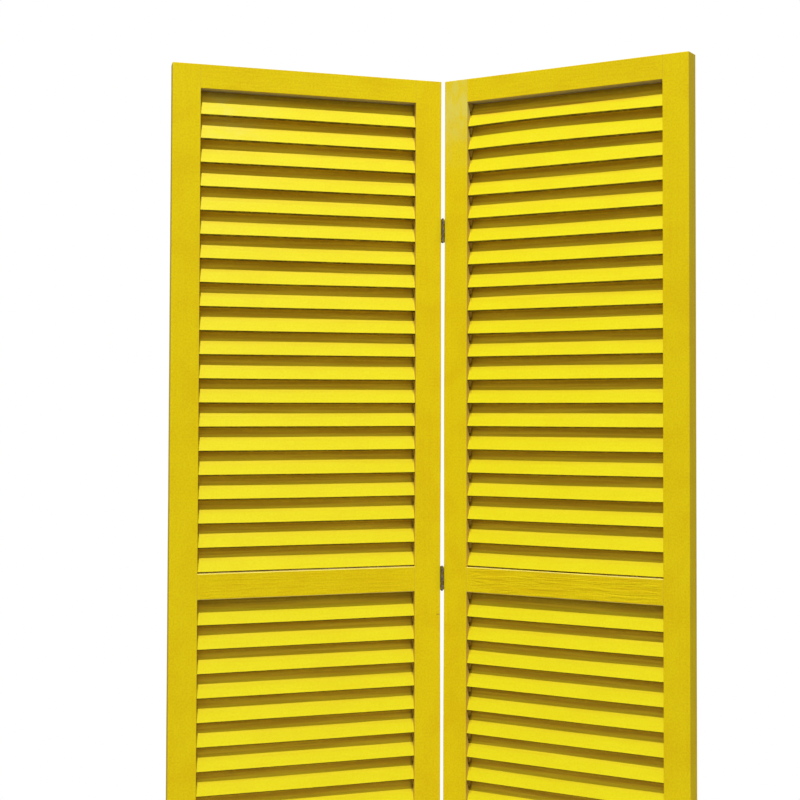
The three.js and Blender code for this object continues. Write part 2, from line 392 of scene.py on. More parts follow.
class NodeSheet:
    """One material's node tree, built in a few words a node."""

    def __init__(self, name: str) -> None:
        """Starts an empty node tree with a shader and an output.

        Args:
            name: the material's name.
        """
        self.material = bpy.data.materials.new(name)
        self.material.use_nodes = True
        self.tree = self.material.node_tree
        self.tree.nodes.clear()
        self.shader = self.tree.nodes.new("ShaderNodeBsdfPrincipled")
        output = self.tree.nodes.new("ShaderNodeOutputMaterial")
        self.tree.links.new(self.shader.outputs[0], output.inputs["Surface"])
        self.local = self.tree.nodes.new("ShaderNodeTexCoord").outputs["Object"]

    def feed(self, socket: Socket, value: Value) -> None:
        """Links a socket to another, or sets it to a constant.

        Args:
            socket: the socket that is fed.
            value: another socket, a number or a list of numbers.
        """
        if isinstance(value, bpy.types.NodeSocket):
            self.tree.links.new(value, socket)
        elif isinstance(value, (int, float)):
            socket.default_value = value
        else:
            wide = len(socket.default_value) == 4 and len(value) == 3
            socket.default_value = (*value, 1.0) if wide else tuple(value)

    def finish(self, **inputs: Value) -> None:
        """Sets the shader's sockets, named with underscores for spaces."""
        for name, value in inputs.items():
            self.feed(self.shader.inputs[name.replace("_", " ")], value)

    def node(self, kind: str, settings: dict[str, str], inputs: dict[str | int, Value]) -> bpy.types.Node:
        """Adds a node.

        Args:
            kind: its type, without ShaderNode in front.
            settings: its own properties.
            inputs: what each socket is fed, by the socket's name or number.

        Returns:
            The node.
        """
        node = self.tree.nodes.new(f"ShaderNode{kind}")
        for name, value in settings.items():
            setattr(node, name, value)
        for key, value in inputs.items():
            self.feed(node.inputs[key], value)
        return node

    def panel_place(self) -> Socket:
        """The stored place of each point in its panel."""
        return self.node("Attribute", {"attribute_name": "place"}, {}).outputs["Vector"]

    def stored(self, name: str) -> Socket:
        """A number that mark() stored on the mesh."""
        return self.node("Attribute", {"attribute_name": name}, {}).outputs["Fac"]

    def stretched(self, scale: Sequence[float], shift: Value = (0.0, 0.0, 0.0)) -> Socket:
        """The bar's own coordinates, scaled along the grain and across it, and shifted."""
        return self.node("Mapping", {}, {"Vector": self.local, "Location": shift, "Scale": scale}).outputs[0]

    def noise(self, where: Socket, scale: float, detail: float = 3.0, distortion: float = 0.0) -> Socket:
        """A noise pattern from 0 to 1."""
        inputs = {"Vector": where, "Scale": scale, "Detail": detail, "Distortion": distortion}
        return self.node("TexNoise", {}, inputs).outputs["Fac"]

    def span(self, value: Value, low: float, high: float, to: tuple[float, float] = (0.0, 1.0)) -> Socket:
        """Spreads the part of a value between low and high smoothly over a new range."""
        inputs = {"Value": value, "From Min": low, "From Max": high, "To Min": to[0], "To Max": to[1]}
        return self.node("MapRange", {"interpolation_type": "SMOOTHSTEP"}, inputs).outputs[0]

    def maths(self, operation: str, first: Value, second: Value = 0.0) -> Socket:
        """One step of arithmetic."""
        return self.node("Math", {"operation": operation}, {0: first, 1: second}).outputs[0]

    def plus(self, first: Value, second: Value) -> Socket:
        """The sum of two values."""
        return self.maths("ADD", first, second)

    def times(self, first: Value, second: Value) -> Socket:
        """The product of two values."""
        return self.maths("MULTIPLY", first, second)

    def blend(self, share: Value, first: Value, second: Value) -> Socket:
        """Mixes two colours by a share."""
        inputs = {"Factor": share, 6: first, 7: second}
        return self.node("Mix", {"data_type": "RGBA"}, inputs).outputs[2]

    def relief(self, height_mm: Socket) -> Socket:
        """A surface direction from a height in millimetres."""
        return self.node("Bump", {}, {"Height": height_mm, "Distance": MM, "Strength": 1.0}).outputs[0]


@dataclass(frozen=True)
class Grain:
    """A noise pattern drawn out along a bar.

    Attributes:
        along: its scale along the bar.
        across: its scale across the bar.
        detail: how many finer layers it has.
        distortion: how far it wanders.
    """

    along: float
    across: float
    detail: float
    distortion: float = 0.0

    def on(self, sheet: NodeSheet, shift: Socket) -> Socket:
        """The pattern on one bar, from 0 to 1."""
        place = sheet.stretched((self.along, self.across, self.across), shift)
        return sheet.noise(place, 1.0, self.detail, self.distortion)


@dataclass(frozen=True)
class BrushedPaint:
    """Gloss paint brushed along the grain of a pine bar, whose grain shows through as relief.

    Attributes:
        name: the material's name.
        slot: the record's material slot; not used.
        coat: the paint's colour where the coat is full.
        thin: its colour where the coat is thin.
        recess: its painted shade colour, for faces turned from the light and for the parts under the next
            slat.
        recess_dark: the darker streaks in that painted shade.
        grime: a darker colour in creases, between parts and under edges: painted shade, with some dirt.
        worn: a lighter colour on the arrises: partly wear and partly a painted highlight.
        grain_mm: the height of the raised grain.
        brush_mm: the height of the brush marks.
        shine: the strength of its reflections.
        chalk: its colour where it has gone dull.
        streaks: the streaks that the brush left in the colour.
        patches: how the chalky bloom breaks up.
        crumbs: how the darker crease colour breaks up.
        rubs: how the wear and painted highlight on the arrises break up.
        rings: the raised grain.
        strokes: the brush marks in the surface.
        gloss: how the shine varies.
        cloud_scale: the scale of the faint clouds in the colour.
        fleck_scale: the scale of its fine flecks.
        stipple_scale: the scale of the surface's fine stipple.
        stipple_mm: the height of that stipple.
        piece_step: how far the patterns move from piece to piece.
    """

    name: str
    slot: str
    coat: Colour
    thin: Colour
    # The next four colours paint light and shade: two shade colours, a darker crease colour that is painted
    # shade with some dirt, and an arris colour that is wear with a painted highlight.
    recess: Colour
    recess_dark: Colour
    grime: Colour
    worn: Colour
    grain_mm: float
    brush_mm: float
    shine: float

    chalk: Colour = (0.88, 0.79, 0.15)
    streaks: Grain = Grain(6.0, 210.0, 2.0, 0.2)
    patches: Grain = Grain(30.0, 55.0, 4.0, 1.0)
    crumbs: Grain = Grain(90.0, 200.0, 4.0, 1.0)
    rubs: Grain = Grain(45.0, 160.0, 5.0, 0.6)
    rings: Grain = Grain(11.0, 150.0, 3.0, 1.6)
    strokes: Grain = Grain(14.0, 420.0, 2.0)
    gloss: Grain = Grain(12.0, 60.0, 3.0)
    cloud_scale: float = 14.0
    fleck_scale: float = 330.0
    stipple_scale: float = 480.0
    stipple_mm: float = 0.09
    piece_step: float = 37.0

    def colour(self, sheet: NodeSheet, shift: Socket) -> Socket:
        """The coat's colour, with its clouds, streaks and chalky bloom, its painted shade, a darker painted
        shade with some dirt, and wear with a painted highlight on the arrises.

        Args:
            sheet: the material's node tree.
            shift: how far the patterns are moved on this piece.

        Returns:
            The colour.
        """
        place = sheet.panel_place()
        clouds = sheet.span(sheet.noise(place, self.cloud_scale, 4.0, 0.4), 0.38, 0.70, (0.0, 0.5))
        flecks = sheet.span(sheet.noise(place, self.fleck_scale, 2.0), 0.35, 0.70, (0.0, 0.7))
        streaks = self.streaks.on(sheet, shift)
        streaky = sheet.times(sheet.stored("grain"), sheet.span(streaks, 0.45, 0.8, (0.0, 0.6)))
        thinness = sheet.plus(clouds, sheet.plus(flecks, streaky))
        coat = sheet.blend(thinness, self.coat, self.thin)
        # Painted shade: streaked shade colours where the mesh is marked as turned from the light or under
        # the next slat.
        deep = sheet.blend(sheet.span(streaks, 0.35, 0.65), self.recess, self.recess_dark)
        coat = sheet.blend(sheet.stored("hidden"), coat, deep)
        patches = sheet.span(self.patches.on(sheet, shift), 0.35, 0.65, (0.25, 1.0))
        coat = sheet.blend(sheet.times(sheet.stored("bloom"), patches), coat, self.chalk)
        # Darker painted shade, with some dirt, in creases, between parts and under edges.
        crumbs = sheet.span(self.crumbs.on(sheet, shift), 0.3, 0.6, (0.7, 1.0))
        coat = sheet.blend(sheet.times(sheet.stored("grime"), crumbs), coat, self.grime)
        # A lighter colour on the arrises: wear with a painted highlight.
        rubs = sheet.plus(self.rubs.on(sheet, shift), sheet.stored("arris"))
        shown = sheet.span(sheet.maths("SUBTRACT", rubs, 1.0), 0.05, 0.22, (0.0, 0.85))
        return sheet.blend(shown, coat, self.worn)

    def height(self, sheet: NodeSheet, shift: Socket) -> Socket:
        """The coat's relief: raised grain, brush marks and a fine stipple.

        Args:
            sheet: the material's node tree.
            shift: how far the patterns are moved on this piece.

        Returns:
            The height in millimetres.
        """
        rings = sheet.span(self.rings.on(sheet, shift), 0.40, 0.62, (0.0, self.grain_mm))
        raised = sheet.times(sheet.stored("grain"), rings)
        marks = sheet.times(self.strokes.on(sheet, shift), self.brush_mm)
        stipple = sheet.times(sheet.noise(sheet.panel_place(), self.stipple_scale, 2.0), self.stipple_mm)
        return sheet.plus(raised, sheet.plus(marks, stipple))

    def material(self) -> bpy.types.Material:
        """Builds the paint as a procedural material.

        Returns:
            The material.
        """
        sheet = NodeSheet(self.name)
        offset = sheet.times(sheet.stored("piece"), self.piece_step)
        shift = sheet.node("CombineXYZ", {}, {0: offset, 1: offset, 2: offset}).outputs[0]
        gloss = sheet.span(self.gloss.on(sheet, shift), 0.3, 0.7, (0.40, 0.54))
        dull = sheet.times(sheet.stored("bloom"), 0.2)
        sheet.finish(
            Base_Color=self.colour(sheet, shift),
            Roughness=sheet.plus(gloss, dull),
            Normal=sheet.relief(self.height(sheet, shift)),
            Specular_IOR_Level=self.shine,
            IOR=1.5,
            Metallic=0.0,
        )
        return sheet.material


@dataclass(frozen=True)
class DarkSteel:
    """Pressed steel gone dull and brown, with a little paint from the brush on it.

    Attributes:
        name: the material's name.
        slot: the record's material slot; not used.
        metal: the steel's colour.
        rust: its colour where it has browned.
        paint: the colour of the paint smears.
        smear: how much of it the paint covers, from 0 to 1.
        scratch_mm: how deep its scratches are.
        pit_mm: how deep its pits are.
        smear_mm: how thick the paint on it is.
    """

    name: str
    slot: str
    metal: Colour
    rust: Colour
    paint: Colour
    smear: float
    scratch_mm: float = 0.02
    pit_mm: float = 0.03
    smear_mm: float = 0.12

    def material(self) -> bpy.types.Material:
        """Builds the steel as a procedural material.

        Returns:
            The material.
        """
        sheet = NodeSheet(self.name)
        stains = sheet.noise(sheet.stretched((260.0, 260.0, 160.0)), 1.0, 5.0, 0.8)
        colour = sheet.blend(sheet.span(stains, 0.35, 0.7), self.metal, self.rust)
        spatter = sheet.noise(sheet.stretched((330.0, 330.0, 120.0), (7.0, 3.0, 11.0)), 1.0, 3.0, 0.4)
        edge = 0.72 - 0.3 * self.smear
        painted = sheet.span(spatter, edge, edge + 0.04)
        scratches = sheet.noise(sheet.stretched((900.0, 900.0, 60.0)), 1.0, 2.0)
        pits = sheet.noise(sheet.stretched((1500.0, 1500.0, 1500.0)), 1.0, 2.0)
        height = sheet.plus(sheet.times(scratches, self.scratch_mm), sheet.times(pits, self.pit_mm))
        coated = sheet.plus(height, sheet.times(painted, self.smear_mm))
        sheet.finish(
            Base_Color=sheet.blend(painted, colour, self.paint),
            Metallic=sheet.times(sheet.maths("SUBTRACT", 1.0, painted), 0.85),
            Roughness=sheet.span(stains, 0.3, 0.7, (0.38, 0.62)),
            Normal=sheet.relief(coated),
        )
        return sheet.material


# ---------------------------------------------------------------- timber


@dataclass(frozen=True)
class Nick:
    """A small dent in one arris of a bar.

    Attributes:
        at: how far along the bar it is.
        corner: which arris, numbered as a section's arrises are.
        depth: how deep it goes.
        length: how long it is.
    """

    at: float
    corner: int
    depth: float
    length: float

    def bite(self, x: float, corner: int) -> float:
        """How far an arris point is pressed in.

        Args:
            x: how far along the bar the point is.
            corner: the arris it is on.

        Returns:
            The depth there.
        """
        if corner != self.corner:
            return 0.0
        return self.depth * ease(1 - abs(x - self.at) / self.length)


@dataclass
class Bar:
    """A straight piece of painted timber along its own x, from 0 to its length.

    Attributes:
        name: the piece's name.
        length: how long it is.
        section: its cross-section.
        seed: what makes its unevenness its own.
        wave: how far its faces swell in and out.
        nicks: dents in its arrises.
        round_ends: the radius that its ends are eased to.
        spacing: the distance between its rings.
        grain: how strongly its grain shows through, about 1 for coarse grain.
        rub: how much of its arrises shows the lighter arris colour, from 0 to 1: partly wear and partly a
            painted highlight.
        end_steps: how many spans its eased ends have.
        slow_swell: the scale along it, the scale round it and the share of its long swellings.
        quick_swell: the same for its short ones.
    """

    name: str
    length: float
    section: Section
    seed: float
    wave: float = 0.12 * MM
    nicks: tuple[Nick, ...] = ()
    round_ends: float = 1.0 * MM
    spacing: float = 12 * MM
    grain: float = 0.5
    rub: float = 0.6
    end_steps: int = 3
    slow_swell: tuple[float, float, float] = (9.0, 40.0, 0.75)
    quick_swell: tuple[float, float, float] = (38.0, 110.0, 0.35)

    NICK_RINGS = (-1.0, -0.6, -0.25, 0.0, 0.25, 0.6, 1.0)
    SIDE_TURN = 3.0
    LEAST_SLANT = 0.05

    def stations(self) -> list[tuple[float, float]]:
        """Spaces the bar's rings, closer together at the ends and about each nick.

        Returns:
            (x, inset) of each ring.
        """
        radius = self.round_ends
        start = []
        for step in range(self.end_steps + 1):
            angle = math.pi / 2 * step / self.end_steps
            start.append((radius * (1 - math.sin(angle)), radius * (1 - math.cos(angle))))
        start.sort()
        count = max(2, round(self.length / self.spacing))
        plain = {self.length * i / count for i in range(1, count)}
        for nick in self.nicks:
            plain |= {nick.at + nick.length * share for share in self.NICK_RINGS}
        middle = sorted(x for x in plain if radius * 2 < x < self.length - radius * 2)
        finish = [(self.length - x, inset) for x, inset in reversed(start)]
        return start + [(x, 0.0) for x in middle] + finish

    def section_at(self, x: float) -> Section:
        """The section at a place along the bar, before insets and swellings."""
        return self.section

    def swell(self, x: float, point: Vector, out: Vector) -> float:
        """How far a point of the surface stands out from the true section.

        Args:
            x: how far along the bar it is.
            point: its place in the section.
            out: the outward direction there.

        Returns:
            The distance, less than zero where the face sinks.
        """
        along, across, slow_share = self.slow_swell
        at = (x * along, point.x * across + out.x * self.SIDE_TURN, point.y * across + self.seed)
        slow = noise.noise(Vector(at))
        along, across, quick_share = self.quick_swell
        at = (x * along, point.x * across - self.seed, point.y * across + out.y * self.SIDE_TURN)
        quick = noise.noise(Vector(at))
        return self.wave * (slow_share * slow + quick_share * quick)

    def shift(self, x: float, point: Vector) -> Vector:
        """How far a point is carried from a straight bar by its warp."""
        return Vector((0.0, 0.0, 0.0))

    def ring(self, x: float, inset: float) -> list[Vector]:
        """Makes one ring of the bar's surface.

        Args:
            x: how far along the bar it is.
            inset: how far it is drawn in.

        Returns:
            Its points in the bar's coordinates.
        """
        section = self.section_at(x)
        outline = (section.inset(inset) if inset else section).outline()
        ring = []
        for point, out in outline:
            corner = (0 if point.x > 0 else 1) if point.y > 0 else (3 if point.x > 0 else 2)
            on_arris = min(abs(out.x), abs(out.y)) > self.LEAST_SLANT
            bite = sum(nick.bite(x, corner) for nick in self.nicks) if on_arris else 0.0
            swell = self.swell(x, point, out) * self.free(Vector((x, point.x, point.y)))
            moved = point + out * (swell - bite)
            ring.append(Vector((x, moved.x, moved.y)) + self.shift(x, moved))
        return ring

    def rings(self) -> list[list[Vector]]:
        """All of the bar's rings, from end to end."""
        return [self.ring(x, inset) for x, inset in self.stations()]

    def built(self) -> bpy.types.Object:
        """Lofts the bar, not yet placed."""
        return Shell().loft(self.rings()).made(self.name)

    def free(self, point: Vector) -> float:
        """How far a point is from the bar's joints: 0 at one and 1 well clear of it."""
        return 1.0

    def hidden(self, point: Vector) -> float:
        """How much painted shade a point gets, from 0 to 1."""
        return 0.0

    def grime(self, point: Vector) -> float:
        """How much of the darker crease colour a point gets, painted shade with some dirt, from 0 to 1."""
        return 0.0

    def straight(self, point: Vector) -> Vector:
        """Where a point of the finished bar would be if the bar were not warped."""
        return point - self.shift(point.x, Vector((point.y, point.z)))

    def marked(self, piece: bpy.types.Object, bloom: Callable[[Vector], float]) -> None:
        """Stores what the paint reads at each point of the finished mesh.

        Args:
            piece: the finished bar.
            bloom: gives the paint's chalkiness at a point.
        """
        # The first mark sets wear and a painted highlight on the arrises; the third and fourth set painted
        # shade, the fourth darker and with some dirt.
        mark(piece, "arris", lambda p: self.rub * self.section.arris_share(self.straight(p)))
        mark(piece, "grain", lambda p: self.grain * self.free(p))
        mark(piece, "hidden", lambda p: self.hidden(self.straight(p)))
        mark(piece, "grime", lambda p: self.grime(self.straight(p)))
        mark(piece, "bloom", bloom)
        mark(piece, "piece", lambda p: self.seed % 1.0)


@dataclass
class Stile(Bar):
    """A full-height upright, housed on one side for slats and mortised for rails.

    Attributes:
        inner: +1 or -1, the side along its own z that faces the slats.
        rails: the heights that each rail fills, whose joints are painted flush.
        held: the heights of the hinges that hold it straight, if any.
        spring: how far it springs out between two hinges.
        flush: the radius that its arrises close up to at a rail.
        fade: how far from a rail they open again.
        joint_reach: how far across its face a rail's joint holds it flat.
        thin_inside: how strongly painted shade darkens the edge face that faces the slats, from 0 to 1.
        thin_outside: the same on its other edge.
        grime_inside: how strongly a darker painted shade lies on the inner edge face between the slats'
            ends, from 0 to 1.
    """

    inner: int = 1
    rails: tuple[tuple[float, float], ...] = ()
    held: tuple[float, ...] = ()
    spring: float = 0.7 * MM
    flush: float = 0.06 * MM
    fade: float = 3 * MM
    joint_reach: float = 8 * MM
    thin_inside: float = 0.8
    thin_outside: float = 0.15
    grime_inside: float = 0.3

    def rail_share(self, x: float) -> float:
        """Whether a rail meets the stile at a height: 1 where it does, fading to 0 beside it."""
        shares = [ease(min(x - low, high - x) / self.fade + 1) for low, high in self.rails]
        return max(shares, default=0.0)

    def section_at(self, x: float) -> Section:
        """The section at a height, whose inner arrises close up where a rail meets them.

        Args:
            x: the height.

        Returns:
            The section there.
        """
        near = self.rail_share(x)
        full = self.section.arrises
        tight = tuple(r + (self.flush - r) * near for r in full)
        arrises = (*tight[:2], *full[2:]) if self.inner > 0 else (*full[:2], *tight[2:])
        section = self.section
        return Section(section.depth, section.width, arrises, section.depth_steps, section.width_steps)

    def free(self, point: Vector) -> float:
        """How far a point is from the rails' joints."""
        inside = self.section.width / 2 - self.inner * point.z
        return 1 - self.rail_share(point.x) * ease(1.4 - inside / self.joint_reach)

    def shift(self, x: float, point: Vector) -> Vector:
        """The stile's spring towards its neighbour between the hinges.

        Args:
            x: how far up it is.
            point: its place in the section; not used.

        Returns:
            How far it is carried.
        """
        for low, high in zip(self.held, self.held[1:]):
            if low < x < high:
                carry = self.spring * math.sin(math.pi * (x - low) / (high - low)) ** 2
                return Vector((0.0, 0.0, -self.inner * carry))
        return Vector((0.0, 0.0, 0.0))

    def hidden(self, point: Vector) -> float:
        """Painted shade on the edge faces, which take less light than the front and back."""
        strength = self.thin_inside if self.inner * point.z > 0 else self.thin_outside
        return strength * onset(abs(point.z) - self.section.width / 2, start=-0.5 * MM, over=0.4 * MM)

    def grime(self, point: Vector) -> float:
        """Darker painted shade on the inner edge face, where it shows between the slats' ends."""
        inside = self.inner * point.z - self.section.width / 2
        return self.grime_inside * onset(inside, start=-0.3 * MM, over=0.2 * MM)

    def stations(self) -> list[tuple[float, float]]:
        """The bar's rings, and more of them where a rail's joint begins and ends.

        Returns:
            (x, inset) of each ring.
        """
        steps = [step * self.fade for step in (-1.0, -0.5, 0.0)]
        edges = [edge + step for rail in self.rails for edge in rail for step in steps]
        inside = [(x, 0.0) for x in edges if 2 * self.round_ends < x < self.length - 2 * self.round_ends]
        return sorted(super().stations() + inside, key=lambda station: station[0])


@dataclass
class Rail(Bar):
    """A cross-bar with a tenon at each end, whose shoulders meet the stiles.

    Attributes:
        tenon: the tenon's length, thickness and height.
        tenon_arris: the radius of its arrises.
        joint_reach: how far from a stile the joint holds the rail flat.
        grime_below: how strongly its underside takes the greyish darker colour, from 0 to 1.
    """

    tenon: tuple[float, float, float] = (25 * MM, 9 * MM, 28 * MM)
    tenon_arris: float = 0.5 * MM
    joint_reach: float = 14 * MM
    grime_below: float = 0.85

    def free(self, point: Vector) -> float:
        """How far a point is from the stiles."""
        return ease(min(point.x, self.length - point.x) / self.joint_reach)

    def hidden(self, point: Vector) -> float:
        """Painted shade on the underside."""
        return onset(-point.z - self.section.width / 2, start=-1.2 * MM, over=0.6 * MM)

    def grime(self, point: Vector) -> float:
        """A greyish darker colour on the underside."""
        return self.grime_below * onset(-point.z - self.section.width / 2, start=-0.7 * MM, over=0.5 * MM)

    def tenon_ring(self, x: float) -> list[Vector]:
        """Makes a ring of the tenon.

        Args:
            x: how far along the rail it is, from the shoulder at the rail's start.

        Returns:
            Its points in the rail's coordinates.
        """
        _, thickness, height = self.tenon
        steps = (self.section.depth_steps, self.section.width_steps)
        section = Section(thickness, height, (self.tenon_arris,) * 4, *steps)
        return [Vector((x, p.x, p.y)) for p, _ in section.outline()]

    def rings(self) -> list[list[Vector]]:
        """The rail's rings between its shoulders, and each tenon's outside them.

        Returns:
            The rings from end to end.
        """
        length = self.tenon[0]
        places = {x for x, _ in self.stations()} | {0.0, self.length}
        body = [self.ring(x, 0.0) for x in sorted(places)]
        before = [self.tenon_ring(-length), self.tenon_ring(0.0)]
        after = [self.tenon_ring(self.length), self.tenon_ring(self.length + length)]
        return before + body + after


@dataclass
class Slat(Bar):
    """A thin louvre, a little warped between its housed ends.

    Attributes:
        bow: how far its middle stands off its face.
        crook: how far its middle is bent edgeways.
        twist: how far its middle is turned, in radians.
        hollow: how far its lower edge is planed up at the middle.
        crown: how far its upper edge stands up at the middle.
        housed: how much of each end is inside a stile.
        reached: how much higher up its face its painted shade starts at the middle.
        unreached: how far below the middle of its face its painted shade starts, at its ends.
        back_bare: how strongly painted shade darkens its back, from 0 to 1.
        crevice_grime: how much darker painted shade lies under the next slat, from 0 to 1.
        end_grime: how much lies where it enters a stile, from 0 to 1.
        skew: what moves the middle of its warp towards its start, 1 for none.
        spread: how narrow the warp is about its middle, 1 for a plain arch.
    """

    bow: float = 0.0
    crook: float = 0.0
    twist: float = 0.0
    hollow: float = 0.0
    crown: float = 0.0
    housed: float = 0.0
    reached: float = 0.0
    unreached: float = 0.7 * MM
    back_bare: float = 0.6
    crevice_grime: float = 0.4
    end_grime: float = 0.8
    skew: float = 0.8
    spread: float = 1.3

    def bend(self, x: float) -> float:
        """The shape of the slat's warp: 0 at its ends and 1 a little before its middle."""
        share = min(1.0, max(0.0, x / self.length))
        return math.sin(math.pi * share**self.skew) ** self.spread

    def shift(self, x: float, point: Vector) -> Vector:
        """The slat's warp, which dies out at its housed ends.

        Args:
            x: how far along the slat it is.
            point: its place in the section.

        Returns:
            How far it is carried.
        """
        bend = self.bend(x)
        lean = self.twist * math.sin(math.tau * x / self.length)
        across = point.y / self.section.width
        planed = bend * (self.hollow * ease(0.5 - across) + self.crown * ease(0.5 + across))
        return Vector((0.0, self.bow * bend - point.y * lean, self.crook * bend + point.x * lean + planed))

    def stations(self) -> list[tuple[float, float]]:
        """The bar's rings, and more of them just outside the housings.

        Returns:
            (x, inset) of each ring.
        """
        close = [self.housed + step for step in (0.0, 1.5 * MM, 4 * MM)]
        extra = [(x, 0.0) for near in close for x in (near, self.length - near)]
        return sorted(super().stations() + extra, key=lambda station: station[0])

    def outside(self, x: float) -> float:
        """How far a place along the slat is outside the stiles."""
        return min(x, self.length - x) - self.housed

    def hidden(self, point: Vector) -> float:
        """Painted shade under the next slat, where its shadow falls, and on the back.

        Args:
            point: a place on the slat before it warped.

        Returns:
            How much painted shade it gets, from 0 to 1.
        """
        # Painted shade starts near the middle of the front face, where the shadow of the slat above begins.
        limit = self.reached * self.bend(point.x) - self.unreached
        front = onset(point.z, start=limit, over=1.8 * MM)
        back = self.back_bare * onset(point.y, start=0.0, over=2 * MM)
        return max(front, back)

    def grime(self, point: Vector) -> float:
        """Darker painted shade under the next slat, on the lower edge and where the slat enters a stile.

        Args:
            point: a place on the slat before it warped.

        Returns:
            How much of that darker painted shade it gets, from 0 to 1.
        """
        crevice = self.crevice_grime * onset(point.z, start=9.5 * MM, over=3.5 * MM)
        under = onset(-point.z - self.section.width / 2, start=-0.45 * MM, over=0.35 * MM)
        near_stile = ease(1 - self.outside(point.x) / (4 * MM))
        end = self.end_grime * near_stile * onset(point.z, start=-4 * MM, over=6 * MM)
        return max(crevice, under, end)


# ---------------------------------------------------------------- panels


@dataclass(frozen=True)
class Bloom:
    """A dull, chalky patch in the paint.

    Attributes:
        piece: the piece it is on.
        at: how far along the piece its middle is.
        reach: how far it spreads along the piece.
        strength: how strong it is at its middle, from 0 to 1.
    """

    piece: str
    at: float
    reach: float
    strength: float

    def share(self, x: float) -> float:
        """Its strength at a place along the piece."""
        return self.strength * ease(1 - abs(x - self.at) / self.reach)


